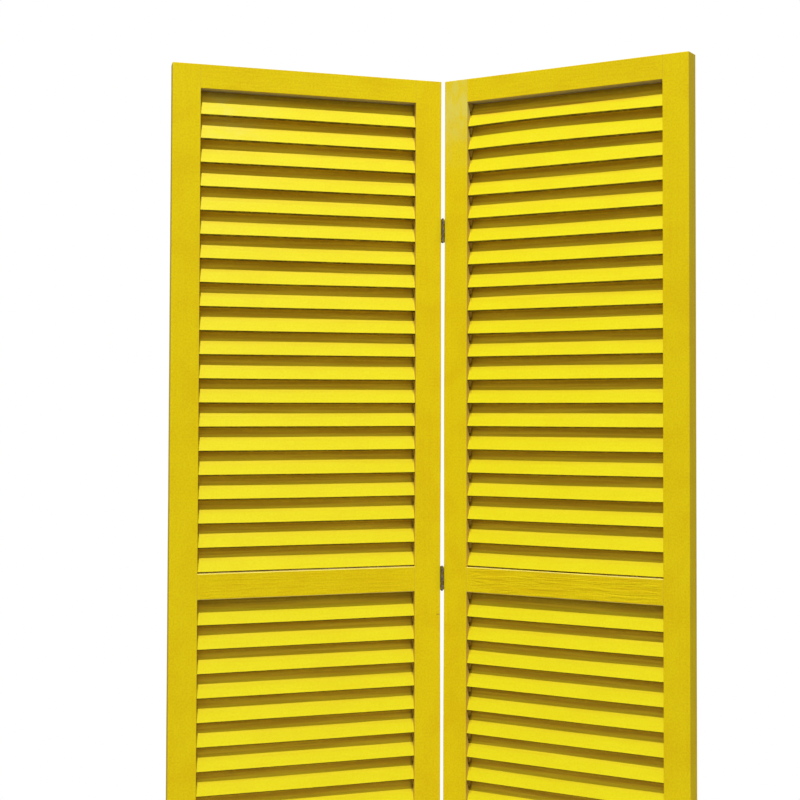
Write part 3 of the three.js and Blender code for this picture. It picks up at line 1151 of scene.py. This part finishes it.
@dataclass
class Panel:
    """One panel of the screen: two stiles, three rails and two openings full of slats.

    Attributes:
        side: which panel it is.
        axis: the line that the panels turn about.
        frame_paint: the material on its frame.
        slat_paint: the material on its slats.
        materials: the built materials by name.
        blooms: chalky patches on its pieces.
        warps: the warps of particular slats.
        saw_marks: heights of small saw nicks in the front corner of a stile's hinge edge.
        grains: how strongly the grain shows on particular rails.
        plain_grain: how strongly it shows on the rest of the frame.
        slat_width: a slat's size across its face.
        slat_thickness: its thickness.
        slat_ease: the easing of the CAD slat's corners.
        slat_arris: the radius of the visible slat's arrises.
        slat_tilt: how far a slat is tilted up from flat.
        least_pitch: the least distance between two slats.
        housing_depth: how far a slat runs into a stile.
        fit: the clearance in a joint.
        stile_arris: the radius of a stile's arrises.
        rail_arris: the radius of a rail's arrises beside the slats.
        outside_arris: the radius of its arrises at the panel's top and foot.
        tenon_thickness: a tenon's thickness.
        tenon_shoulder: how far a tenon stands in from the rail's edges.
        saw_mark: a saw nick's length, height and depth.
        nick_count: how many small dents a stile has.
    """

    side: Side
    axis: FoldAxis
    frame_paint: BrushedPaint
    slat_paint: BrushedPaint
    materials: dict[str, bpy.types.Material]
    blooms: tuple[Bloom, ...] = ()
    warps: dict[str, dict[str, float]] = field(default_factory=dict)
    saw_marks: dict[str, tuple[float, ...]] = field(default_factory=dict)
    grains: dict[str, float] = field(default_factory=dict)
    plain_grain: float = 0.35
    slat_width: float = 44 * MM
    slat_thickness: float = 6 * MM
    slat_ease: float = 1 * MM
    slat_arris: float = 0.5 * MM
    slat_tilt: float = math.radians(68)
    least_pitch: float = 39 * MM
    housing_depth: float = 8 * MM
    fit: float = 0.3 * MM
    stile_arris: float = 0.6 * MM
    rail_arris: float = 1.2 * MM
    outside_arris: float = 0.5 * MM
    tenon_thickness: float = 9 * MM
    tenon_shoulder: float = 6 * MM
    saw_mark: tuple[float, float, float] = (7 * MM, 1.7 * MM, 1.8 * MM)
    nick_count: int = 7

    def __post_init__(self) -> None:
        """Reads the panel's places from the CAD nodes."""
        self.hinge_box = self.axis.node_box(f"{self.side.body}_hinge_stile", self.side)
        self.outer_box = self.axis.node_box(f"{self.side.body}_outer_stile", self.side)
        self.rail_boxes = {r: self.axis.node_box(f"{self.side.body}_{r}", self.side) for r in RAILS}
        sign = self.side.value
        edges = [sign * x for box in (self.hinge_box, self.outer_box) for x in (box[0].x, box[1].x)]
        self.inner_edge, self.outer_edge = sorted(edges)[1:3]
        self.middle_y = (self.hinge_box[0].y + self.hinge_box[1].y) / 2
        self.middle_x = sign * (self.inner_edge + self.outer_edge) / 2
        self.opening = self.outer_edge - self.inner_edge
        self.random = random.Random(SEED + sign)
        pins = [self.axis.node_box(f"{name}_pin", Side.LEFT) for name in HINGES]
        self.hinge_heights = tuple((low.z + high.z) / 2 for low, high in pins)

    # places

    def upright(self, x: float) -> Matrix:
        """Stands a bar up at a place across the panel: its x goes up and its z to the left."""
        stand = Matrix(((0, 0, -1, 0), (0, 1, 0, 0), (1, 0, 0, 0), (0, 0, 0, 1)))
        return self.axis.placement(self.side) @ Matrix.Translation((x, self.middle_y, 0.0)) @ stand

    def level(self, start_x: float, z: float, tilt: float = 0.0) -> Matrix:
        """Lays a bar across the panel at a height, turned back about its own length."""
        place = Matrix.Translation((start_x, self.middle_y, z)) @ Matrix.Rotation(tilt, 4, "X")
        return self.axis.placement(self.side) @ place

    def bloom_on(self, name: str) -> Callable[[Vector], float]:
        """The chalkiness of one piece's paint, as a function of a point on it."""
        patches = [bloom for bloom in self.blooms if bloom.piece == name]
        return lambda point: max((bloom.share(point.x) for bloom in patches), default=0.0)

    def settle(
        self, piece: bpy.types.Object, bar: Bar, place: Matrix, paint: BrushedPaint, node: str
    ) -> None:
        """Marks, paints and places a finished bar, and puts it in its CAD node's stead.

        Args:
            piece: the object.
            bar: the bar that it was lofted from.
            place: where it stands in the row frame.
            paint: its paint.
            node: the CAD node that it replaces.
        """
        bar.marked(piece, self.bloom_on(bar.name))
        mark_places(piece, self.axis.placement(self.side).inverted() @ place)
        smooth(piece)
        coat(piece, self.materials[paint.name])
        piece.matrix_world = place
        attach(piece, self.side.body)
        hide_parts(node)
        LOG.info("built %s, %d points", piece.name, len(piece.data.vertices))

    # slats

    def slat_rise(self) -> float:
        """Works out the height that one tilted CAD slat spans, with its eased corners.

        Returns:
            The height.
        """
        half_width, half_thickness = self.slat_width / 2, self.slat_thickness / 2
        corners = (
            (half_width - self.slat_ease, half_thickness),
            (half_width, half_thickness - self.slat_ease),
        )
        return 2 * max(w * math.sin(self.slat_tilt) + t * math.cos(self.slat_tilt) for w, t in corners)

    def slat_heights(self, node: str) -> list[float]:
        """Finds the height of each slat's middle in one CAD set.

        Args:
            node: the CAD node.

        Returns:
            The heights from the bottom up.
        """
        low, high = self.axis.node_box(node, self.side)
        span = high.z - low.z - self.slat_rise()
        count = round(span / self.least_pitch) + 1
        first = low.z + self.slat_rise() / 2
        return [first + span * i / max(count - 1, 1) for i in range(count)]

    def slat_sets(self, opening: str) -> list[str]:
        """The CAD nodes of one opening's slats, from the bottom up."""
        stem = f"{self.side.body}_{opening}_"
        return sorted((n for n in frame["nodes"] if n.startswith(stem)), key=lambda n: int(n[len(stem):]))

    def all_heights(self) -> list[float]:
        """The height of every slat in the panel."""
        nodes = [node for opening in OPENINGS for node in self.slat_sets(opening)]
        return [z for node in nodes for z in self.slat_heights(node)]

    def drawn_warp(self) -> dict[str, float]:
        """Draws how one slat is warped.

        Returns:
            The slat's bow, crook, twist and hollow.
        """
        return {
            "bow": self.random.uniform(-0.7, 0.7) * MM,
            "crook": self.random.uniform(-0.15, 0.15) * MM,
            "twist": math.radians(self.random.uniform(-0.5, 0.5)),
            "hollow": self.random.uniform(-0.4, 0.0) * MM,
        }

    def build_slats(self, opening: str) -> None:
        """Builds one opening's slats, each a piece of its own.

        Args:
            opening: the stem of their CAD nodes' names.
        """
        arris = (self.slat_arris,) * 4
        section = Section(self.slat_thickness, self.slat_width, arris, depth_steps=1, width_steps=6)
        housed = self.housing_depth - self.fit
        length = self.opening + 2 * housed
        start = self.middle_x - length / 2
        sets = [(node, z) for node in self.slat_sets(opening) for z in self.slat_heights(node)]
        for number, (node, z) in enumerate(sets, start=1):
            name = f"{self.side.body}_{opening[:-1]}_{number:02d}"
            warp = self.drawn_warp() | {"housed": housed} | self.warps.get(name, {})
            seed = self.random.uniform(0, 50)
            slat = Slat(name, length, section, seed, round_ends=0.5 * MM, grain=0.5, rub=0.3, **warp)
            place = self.level(start, z, self.slat_tilt - math.pi / 2)
            self.settle(slat.built(), slat, place, self.slat_paint, node)

    # frame

    def joint_cutter(self, inner: int, marks: Sequence[float]) -> bpy.types.Object:
        """The housings, mortises and saw nicks of one stile, in the stile's own coordinates.

        Args:
            inner: the side along the stile's own z that faces the slats.
            marks: the heights of the saw nicks.

        Returns:
            What cuts them all.
        """
        shell = Shell()
        low, high = self.hinge_box
        front = (low.y - high.y) / 2
        edge = inner * (high.x - low.x) / 2
        clear = edge + inner * 2 * MM
        long, tall, deep = self.saw_mark
        near, far = sorted((-edge - inner * MM, -edge + inner * long))
        for z in marks:
            shell.box((z - tall / 2, front - MM, near), (z + tall / 2, front + deep, far))
        half_width = self.slat_width / 2 + self.fit
        half_thickness = self.slat_thickness / 2 + self.fit
        near, far = sorted((edge - inner * self.housing_depth, clear))
        lean = Matrix.Rotation(-(math.pi / 2 - self.slat_tilt), 4, "Z")
        for z in self.all_heights():
            turn = Matrix.Translation((z, 0.0, 0.0)) @ lean
            shell.box((-half_width, -half_thickness, near), (half_width, half_thickness, far), turn)
        thickness = self.tenon_thickness / 2 + self.fit
        inset = self.tenon_shoulder - self.fit
        for low, high in self.rail_boxes.values():
            tenon_end = max(abs(low.x), abs(high.x)) - self.outer_edge
            near, far = sorted((edge - inner * (tenon_end + self.fit), clear))
            shell.box((low.z + inset, -thickness, near), (high.z - inset, thickness, far))
        return shell.made("joint_cutter")

    def build_stile(self, which: str) -> None:
        """Builds one stile with its housings and mortises.

        Args:
            which: hinge_stile or outer_stile.
        """
        low, high = self.hinge_box if which == "hinge_stile" else self.outer_box
        inner = -self.side.value if which == "hinge_stile" else self.side.value
        arris = (self.stile_arris,) * 4
        section = Section(high.y - low.y, high.x - low.x, arris, depth_steps=3, width_steps=5)
        name = f"{self.side.body}_{which}"
        stile = Stile(
            f"painted_{name}",
            high.z - low.z,
            section,
            self.random.uniform(0, 50),
            nicks=self.nicks(high.z - low.z),
            round_ends=0.4 * MM,
            grain=self.plain_grain,
            rub=0.45,
            inner=inner,
            held=self.hinge_heights if which == "hinge_stile" else (),
            rails=tuple((box[0].z, box[1].z) for box in self.rail_boxes.values()),
        )
        piece = stile.built()
        carve(piece, self.joint_cutter(inner, self.saw_marks.get(name, ())), Carve.CUT)
        self.settle(piece, stile, self.upright((low.x + high.x) / 2), self.frame_paint, name)

    def nicks(self, length: float) -> tuple[Nick, ...]:
        """Draws a few small dents up one stile.

        Args:
            length: the stile's length.

        Returns:
            The dents.
        """
        found = []
        for i in range(self.nick_count):
            at = length * (i + self.random.uniform(0.2, 0.8)) / self.nick_count
            depth = self.random.uniform(0.15, 0.5) * MM
            found.append(Nick(at, self.random.randrange(4), depth, self.random.uniform(2, 5) * MM))
        return tuple(found)

    def build_rail(self, which: str) -> None:
        """Builds one rail with its tenons.

        Args:
            which: one of RAILS.
        """
        low, high = self.rail_boxes[which]
        upper = self.outside_arris if which == "top_rail" else self.rail_arris
        lower = self.outside_arris if which == "bottom_rail" else self.rail_arris
        arris = (upper, upper, lower, lower)
        depth = self.hinge_box[1].y - self.hinge_box[0].y
        height = high.z - low.z
        section = Section(depth, height, arris, depth_steps=3, width_steps=5)
        tenon_length = max(abs(low.x), abs(high.x)) - self.outer_edge
        tenon = (tenon_length, self.tenon_thickness, height - 2 * self.tenon_shoulder)
        name = f"{self.side.body}_{which}"
        grain = self.grains.get(name, self.plain_grain)
        seed = self.random.uniform(0, 50)
        # The middle rail's arrises get the lighter arris colour all along: a painted highlight on its top
        # and bottom arrises, with some wear.
        rub = 1.0 if which == "middle_rail" else 0.4
        rail = Rail(f"painted_{name}", self.opening, section, seed, grain=grain, rub=rub, tenon=tenon)
        place = self.level(self.middle_x - self.opening / 2, (low.z + high.z) / 2)
        self.settle(rail.built(), rail, place, self.frame_paint, name)

    def build(self) -> None:
        """Builds the whole panel."""
        for which in ("hinge_stile", "outer_stile"):
            self.build_stile(which)
        for which in RAILS:
            self.build_rail(which)
        for opening in OPENINGS:
            self.build_slats(opening)


# ---------------------------------------------------------------- hinges


@dataclass
class Hinge:
    """A small pressed-steel butt hinge with its pin and screws.

    Attributes:
        name: the stem of its CAD nodes' names.
        axis: the line that it turns about.
        steel: the finish of its leaves and pin.
        screw_steel: the finish of its screws.
        materials: the built materials by name.
        knuckles: how many knuckles its leaves have together.
        gap: the space between two knuckles.
        knuckle_radius: a knuckle's radius.
        knuckle_ease: the easing of its ends.
        pin_radius: the pin's radius.
        pin_fit: the clearance round the pin.
        head_radius: the radius of its heads.
        head_rim: how thick a head is at its rim.
        head_height: how far a head stands up.
        leaf_thickness: a leaf's thickness.
        leaf_parting: how far a leaf's face is from the axis when it lies flat.
        leaf_corner: the radius of its corners.
        leaf_ease: the easing of its arrises.
        plate_start: how far from the axis its plate starts.
        fit: the clearance round a screw and under a pin's head.
        screw_spread: the distance between its two screws.
        screw_from_axis: how far from the axis they are.
        screw_length: a screw's length.
        screw_shank: the radius over its thread.
        screw_head: its head's radius.
        thread_pitch: the distance between its threads.
        slot: the half length, half width and depth of the recess in its head.
        segments: how many sides a round piece has.
    """

    name: str
    axis: FoldAxis
    steel: DarkSteel
    screw_steel: DarkSteel
    materials: dict[str, bpy.types.Material]

    knuckles: int = 5
    gap: float = 0.4 * MM
    knuckle_radius: float = 2.1 * MM
    knuckle_ease: float = 0.35 * MM
    pin_radius: float = 1.0 * MM
    pin_fit: float = 0.2 * MM
    head_radius: float = 1.8 * MM
    head_rim: float = 0.3 * MM
    head_height: float = 1.1 * MM
    leaf_thickness: float = 1.3 * MM
    leaf_parting: float = 0.4 * MM
    leaf_corner: float = 1.5 * MM
    leaf_ease: float = 0.15 * MM
    plate_start: float = 3.4 * MM
    fit: float = 0.3 * MM
    screw_spread: float = 24 * MM
    screw_from_axis: float = 12 * MM
    screw_length: float = 14 * MM
    screw_shank: float = 1.3 * MM
    screw_head: float = 2.4 * MM
    thread_pitch: float = 1.1 * MM
    slot: tuple[float, float, float] = (1.5 * MM, 0.28 * MM, 0.7 * MM)
    segments: int = 40

    def __post_init__(self) -> None:
        """Reads the hinge's height and depth from its CAD leaf."""
        low, high = self.axis.node_box(f"{self.name}_left_leaf", Side.LEFT)
        self.middle_z = (low.z + high.z) / 2
        self.height = high.z - low.z
        self.depth = high.y

    def settle(
        self, piece: bpy.types.Object, side: Side, place: Matrix, steel: DarkSteel, node: str
    ) -> None:
        """Finishes a piece, places it and puts it in its CAD node's stead.

        Args:
            piece: the object.
            side: the panel that it rides on.
            place: where it is from the axis at the hinge's middle.
            steel: its finish.
            node: the CAD node that it replaces.
        """
        smooth(piece)
        coat(piece, self.materials[steel.name])
        middle = Matrix.Translation((0.0, 0.0, self.middle_z))
        piece.matrix_world = self.axis.placement(side) @ middle @ place
        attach(piece, side.body)
        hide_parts(node)
        LOG.info("built %s, %d points", piece.name, len(piece.data.vertices))

    def knuckle(self, low: float, high: float) -> Shell:
        """One rolled knuckle, solid, with eased ends."""
        r, e = self.knuckle_radius, self.knuckle_ease
        return Shell().turned([(r - e, low), (r, low + e), (r, high - e), (r - e, high)], self.segments)

    def plate(self) -> Shell:
        """Makes the leaf's plate, its corners round and its arrises eased.

        Returns:
            The plate, with its face square to x.
        """
        middle_y = (self.plate_start + self.depth) / 2
        corners = (self.leaf_corner,) * 4
        size = self.depth - self.plate_start
        section = Section(size, self.height, corners, depth_steps=4, width_steps=8)
        eased, thick = self.leaf_ease, self.leaf_thickness
        rings = []
        for x, inset in ((0.0, eased), (eased, 0.0), (thick - eased, 0.0), (thick, eased)):
            outline = section.inset(inset).outline()
            rings.append([Vector((self.leaf_parting + x, middle_y + p.x, p.y)) for p, _ in outline])
        return Shell().loft(rings)

    def screw_heights(self) -> tuple[float, float]:
        """The two screws' heights from the hinge's middle."""
        return (-self.screw_spread / 2, self.screw_spread / 2)

    def across(self, z: float) -> Matrix:
        """Turns a piece about Z to lie along x, its face at the leaf's and its tip in the timber."""
        place = Matrix.Translation((self.leaf_parting, self.screw_from_axis, z))
        return place @ Matrix.Rotation(math.pi / 2, 4, "Y")

    def screw_hole(self, z: float) -> bpy.types.Object:
        """Makes what cuts one countersunk hole through the leaf.

        Args:
            z: the hole's height from the hinge's middle.

        Returns:
            The cutter.
        """
        mouth, shank = self.screw_head + self.fit, self.screw_shank + self.fit
        profile = [(mouth, -MM), (mouth, 0.0), (shank, mouth - shank), (shank, self.leaf_thickness + MM)]
        hole = Shell().turned(profile, self.segments)
        hole.points = [self.across(z) @ p for p in hole.points]
        return hole.made("screw_hole")

    def build_leaf(self, side: Side) -> None:
        """Builds one leaf with its knuckles, bore and screw holes.

        Args:
            side: the panel that it is screwed to.
        """
        name = f"{self.name}_{side.word}_leaf"
        leaf = self.plate().made(f"steel_{name}")
        pitch = (self.height + self.gap) / self.knuckles
        first = 1 if side is Side.RIGHT else 0
        reach = self.plate_start + self.leaf_corner
        outer = self.leaf_parting + self.leaf_thickness
        for i in range(first, self.knuckles, 2):
            low = i * pitch - self.height / 2
            high = low + pitch - self.gap
            tab = Shell().box((self.leaf_parting, 0.0, low), (outer, reach, high))
            carve(leaf, tab.made("tab"), Carve.JOIN)
            carve(leaf, self.knuckle(low, high).made("knuckle"), Carve.JOIN)
        radius = self.pin_radius + self.pin_fit
        bore = Shell().turned([(radius, -self.height), (radius, self.height)], self.segments)
        carve(leaf, bore.made("bore"), Carve.CUT)
        for z in self.screw_heights():
            carve(leaf, self.screw_hole(z), Carve.CUT)
        if side is Side.LEFT:
            leaf.data.transform(Matrix.Scale(-1, 4, (1, 0, 0)))
            leaf.data.flip_normals()
        self.settle(leaf, side, Matrix.Identity(4), self.steel, name)

    def build_pin(self) -> None:
        """Builds the pin with a domed head at each end."""
        seat = self.height / 2 + self.fit
        steps = 5
        cap = []
        for i in range(steps + 1):
            angle = math.pi / 2 * i / (steps + 0.6)
            rise = self.head_rim + (self.head_height - self.head_rim) * math.sin(angle)
            cap.append((self.head_radius * math.cos(angle), seat + rise))
        upper = [(self.pin_radius, seat), (self.head_radius, seat), *cap]
        lower = [(r, -z) for r, z in reversed(upper)]
        piece = Shell().turned([*lower, *upper], self.segments).made(f"steel_{self.name}_pin")
        self.settle(piece, Side.LEFT, Matrix.Identity(4), self.steel, f"{self.name}_pin")

    def screw_radius(self, z: float, angle: float) -> float:
        """Finds the screw's radius at one place.

        Args:
            z: the depth below its face.
            angle: the angle round it.

        Returns:
            The radius there.
        """
        cone = self.screw_head - z
        if cone > self.screw_shank:
            return cone
        core = self.screw_shank * 0.72
        taper = ease((self.screw_length - z) / (4 * MM)) * 0.97 + 0.03
        turn = (z / self.thread_pitch - angle / math.tau) % 1.0
        crest = max(0.0, 1 - abs(turn - 0.5) / 0.22)
        return (core + (self.screw_shank - core) * crest) * taper

    def build_screw(self, side: Side, number: int, z: float) -> None:
        """Builds one threaded wood screw with a cross recess in its head.

        Args:
            side: the panel that it is driven into.
            number: its number in its leaf.
            z: its height from the hinge's middle.
        """
        name = f"{self.name}_{side.word}_screw_{number}"
        levels, sides = 90, 20
        depths = [0.0, 0.05 * MM] + [self.screw_length * i / levels for i in range(1, levels)]
        angles = [math.tau * i / sides for i in range(sides)]
        rings = []
        for depth in depths:
            rim = 0.96 if depth == 0.0 else 1.0
            radii = [rim * self.screw_radius(depth, a) for a in angles]
            rings.append([Vector((r * math.cos(a), r * math.sin(a), depth)) for r, a in zip(radii, angles)])
        screw = Shell().loft(rings).made(f"steel_{name}")
        arm, width, deep = self.slot
        for long_x, long_y in ((arm, width), (width, arm)):
            recess = Shell().box((-long_x, -long_y, -MM), (long_x, long_y, deep))
            carve(screw, recess.made("recess"), Carve.CUT)
        spin = Matrix.Rotation(math.radians(23 * number + 31 * (side.value + 1)), 4, "Z")
        flip = Matrix.Rotation(side.value * math.pi / 2, 4, "Y")
        seat = Matrix.Translation((side.value * self.leaf_parting, self.screw_from_axis, z))
        self.settle(screw, side, seat @ flip @ spin, self.screw_steel, name)

    def build(self) -> None:
        """Builds the whole hinge."""
        for side in Side:
            self.build_leaf(side)
            for number, z in enumerate(self.screw_heights(), start=1):
                self.build_screw(side, number, z)
        self.build_pin()


# ---------------------------------------------------------------- studio


@dataclass(frozen=True)
class Viewpoint:
    """Where the camera stands and how it is turned.

    Attributes:
        eye: its place in the row frame.
        yaw_deg: how far it is turned left of the +Y direction.
        pitch_deg: how far it looks up.
        roll_deg: how far its top is leant to the left.
        lens_mm: its focal length.
        shift: the off-centre framing, as shares of the picture.
        sensor_mm: the width of its sensor.
    """

    eye: tuple[float, float, float] = (0.366, -2.371, 1.138)
    yaw_deg: float = 5.048
    pitch_deg: float = 1.621
    roll_deg: float = 0.038
    lens_mm: float = 65.06
    shift: tuple[float, float] = (-0.1623, -0.04)
    sensor_mm: float = 36.0

    def build(self) -> None:
        """Makes the camera and uses it."""
        data = bpy.data.cameras.new("camera")
        data.sensor_width = self.sensor_mm
        data.lens = self.lens_mm
        data.shift_x, data.shift_y = self.shift
        camera = bpy.data.objects.new("camera", data)
        bpy.context.scene.collection.objects.link(camera)
        yaw = Matrix.Rotation(math.radians(self.yaw_deg), 4, "Z")
        pitch = Matrix.Rotation(math.radians(90 + self.pitch_deg), 4, "X")
        roll = Matrix.Rotation(math.radians(self.roll_deg), 4, "Z")
        camera.matrix_world = Matrix.Translation(self.eye) @ yaw @ pitch @ roll
        bpy.context.scene.camera = camera


@dataclass(frozen=True)
class Studio:
    """A pale floor under plain soft light.

    Attributes:
        ambient: how strongly the white surroundings light the screen.
        under_share: how much of that comes from below the horizon.
        key_power: the main light's power in watts.
        key_place: where the main light hangs.
        key_size: the width of its square face.
        fill_power: the power of the weak light behind.
        fill_place: where it hangs.
        fill_size: the width of its square face.
        target: what both lights face.
        floor_reach: how far the floor spreads from the middle.
        floor_steps: how many squares it has along a side.
        floor_tones: its two tones.
        dawn: the upward slopes between which the surroundings brighten.
        warmth: the colour of their light.
    """

    ambient: float = 0.42
    under_share: float = 0.36
    key_power: float = 700.0
    key_place: tuple[float, float, float] = (0.12, -4.16, 9.08)
    key_size: float = 0.16
    fill_power: float = 60.0
    fill_place: tuple[float, float, float] = (-0.8, 4.0, 3.4)
    fill_size: float = 2.5
    target: tuple[float, float, float] = (0.0, 0.0, 1.1)
    floor_reach: float = 1.45
    floor_steps: int = 24
    floor_tones: tuple[Colour, Colour] = ((0.41, 0.41, 0.40), (0.45, 0.45, 0.44))
    dawn: tuple[float, float] = (-0.25, 0.15)
    warmth: Colour = (1.0, 0.98, 0.95)

    def build_world(self) -> None:
        """White surroundings, brighter to look at than to light with."""
        world = bpy.data.worlds.new("surroundings")
        world.use_nodes = True
        tree = world.node_tree
        tree.nodes.clear()
        path = tree.nodes.new("ShaderNodeLightPath")
        lit = tree.nodes.new("ShaderNodeBackground")
        seen = tree.nodes.new("ShaderNodeBackground")
        mix = tree.nodes.new("ShaderNodeMixShader")
        output = tree.nodes.new("ShaderNodeOutputWorld")
        lit.inputs["Color"].default_value = (*self.warmth, 1.0)
        split = tree.nodes.new("ShaderNodeSeparateXYZ")
        rise = tree.nodes.new("ShaderNodeMapRange")
        rise.interpolation_type = "SMOOTHSTEP"
        levels = (*self.dawn, self.ambient * self.under_share, self.ambient)
        for name, number in zip(("From Min", "From Max", "To Min", "To Max"), levels):
            rise.inputs[name].default_value = number
        tree.links.new(tree.nodes.new("ShaderNodeTexCoord").outputs["Generated"], split.inputs[0])
        tree.links.new(split.outputs["Z"], rise.inputs["Value"])
        tree.links.new(rise.outputs[0], lit.inputs["Strength"])
        seen.inputs["Color"].default_value = (1.0, 1.0, 1.0, 1.0)
        tree.links.new(path.outputs["Is Camera Ray"], mix.inputs["Fac"])
        tree.links.new(lit.outputs[0], mix.inputs[1])
        tree.links.new(seen.outputs[0], mix.inputs[2])
        tree.links.new(mix.outputs[0], output.inputs["Surface"])
        bpy.context.scene.world = world

    def build_light(self, name: str, place: Sequence[float], power: float, size: float) -> None:
        """Hangs a square light that faces the screen.

        Args:
            name: its name.
            place: where it hangs.
            power: its power in watts.
            size: the width of its face.
        """
        data = bpy.data.lights.new(name, "AREA")
        data.energy = power
        data.size = size
        light = bpy.data.objects.new(name, data)
        bpy.context.scene.collection.objects.link(light)
        light.location = place
        light.rotation_mode = "QUATERNION"
        light.rotation_quaternion = (Vector(self.target) - Vector(place)).to_track_quat("-Z", "Y")

    def build_floor(self) -> None:
        """A pale, very slightly uneven floor."""
        wide = self.floor_steps + 1
        line = [self.floor_reach * (2 * i / self.floor_steps - 1) for i in range(wide)]
        points = [(x, y, 0.0) for y in line for x in line]
        starts = [r * wide + c for r in range(self.floor_steps) for c in range(self.floor_steps)]
        corners = [(i, i + 1, i + wide + 1, i + wide) for i in starts]
        mesh = bpy.data.meshes.new("floor")
        mesh.from_pydata(points, [], corners)
        floor = bpy.data.objects.new("floor", mesh)
        bpy.context.scene.collection.objects.link(floor)
        sheet = NodeSheet("pale_floor")
        mottle = sheet.noise(sheet.stretched((1.5, 1.5, 1.5)), 2.0, 4.0)
        sheet.finish(Base_Color=sheet.blend(mottle, *self.floor_tones), Roughness=0.7)
        mesh.materials.append(sheet.material)

    def build(self) -> None:
        """Makes the surroundings, floor and lights."""
        self.build_world()
        self.build_floor()
        self.build_light("key", self.key_place, self.key_power, self.key_size)
        self.build_light("back_fill", self.fill_place, self.fill_power, self.fill_size)
        bpy.context.scene.view_settings.view_transform = "Standard"


# ---------------------------------------------------------------- the screen

# The frame's coat is a more orange yellow than the slats' paler lemon, though both are one paint: painted
# shade in the frame's hue, for upright faces that take the light less squarely than the tilted slats. In
# both paints the two shade colours are painted shade, the crease colour is darker painted shade with some
# dirt, and the arris colour is wear with a painted highlight.
FRAME_PAINT = BrushedPaint(
    name="frame_paint",
    slot="frame_paint",
    coat=(0.975, 0.775, 0.006),
    thin=(0.90, 0.645, 0.004),
    recess=(0.74, 0.40, 0.010),
    recess_dark=(0.62, 0.32, 0.009),
    grime=(0.50, 0.46, 0.25),
    worn=(0.93, 0.85, 0.24),
    grain_mm=0.22,
    brush_mm=0.06,
    shine=0.10,
)
SLAT_PAINT = BrushedPaint(
    name="slat_paint",
    slot="slat_paint",
    coat=(0.895, 0.805, 0.010),
    thin=(0.87, 0.745, 0.008),
    recess=(0.99, 0.70, 0.028),
    recess_dark=(0.80, 0.51, 0.016),
    grime=(0.15, 0.10, 0.02),
    worn=(0.92, 0.84, 0.06),
    grain_mm=0.10,
    brush_mm=0.05,
    shine=0.15,
)
HINGE_STEEL = DarkSteel(
    name="hinge_steel",
    slot="hinge_steel",
    metal=(0.30, 0.26, 0.22),
    rust=(0.13, 0.085, 0.055),
    paint=(0.70, 0.52, 0.01),
    smear=0.25,
)
SCREW_STEEL = DarkSteel(
    name="screw_steel",
    slot="screw_steel",
    metal=(0.30, 0.27, 0.23),
    rust=(0.16, 0.11, 0.07),
    paint=(0.70, 0.52, 0.01),
    smear=0.15,
)

BLOOMS = (
    Bloom("painted_right_panel_hinge_stile", at=1.66, reach=0.13, strength=0.75),
    Bloom("left_panel_upper_slat_20", at=0.04, reach=0.12, strength=0.4),
    Bloom("left_panel_upper_slat_19", at=0.04, reach=0.10, strength=0.35),
)
# Some slats also move the start of their painted shade, to follow the shadow of the rail or of the slat
# above.
WARPS = {
    "right_panel_upper_slat_20": {
        "hollow": 2.9 * MM,
        "bow": 0.3 * MM,
        "crook": 0.0,
        "twist": 0.0,
        "reached": -2 * MM,
    },
    "right_panel_upper_slat_19": {
        "hollow": 1.5 * MM,
        "crown": 3.2 * MM,
        "crook": 0.0,
        "reached": 3.0 * MM,
    },
    "right_panel_upper_slat_18": {
        "hollow": -0.3 * MM,
        "crown": 1.8 * MM,
        "crook": 0.0,
        "reached": 1.3 * MM,
    },
    "left_panel_upper_slat_20": {"hollow": 0.0, "crook": 0.0, "bow": -0.4 * MM},
}
GRAINS = {"right_panel_middle_rail": 1.6, "left_panel_middle_rail": 0.7}
SAW_MARKS = {"left_panel_hinge_stile": (0.789,)}


def main() -> None:
    """Builds the finishes, the panels, the hinges and the studio in turn."""
    logging.basicConfig(level=logging.INFO, format="%(name)s: %(message)s")
    axis = FoldAxis.from_record(frame["record"])
    finishes = (FRAME_PAINT, SLAT_PAINT, HINGE_STEEL, SCREW_STEEL)
    materials = {finish.name: finish.material() for finish in finishes}
    for side in Side:
        Panel(side, axis, FRAME_PAINT, SLAT_PAINT, materials, BLOOMS, WARPS, SAW_MARKS, GRAINS).build()
    for name in HINGES:
        Hinge(name, axis, HINGE_STEEL, SCREW_STEEL, materials).build()
    Studio().build()
    Viewpoint().build()
    bpy.context.view_layer.update()


if __name__ == "__main__":
    main()
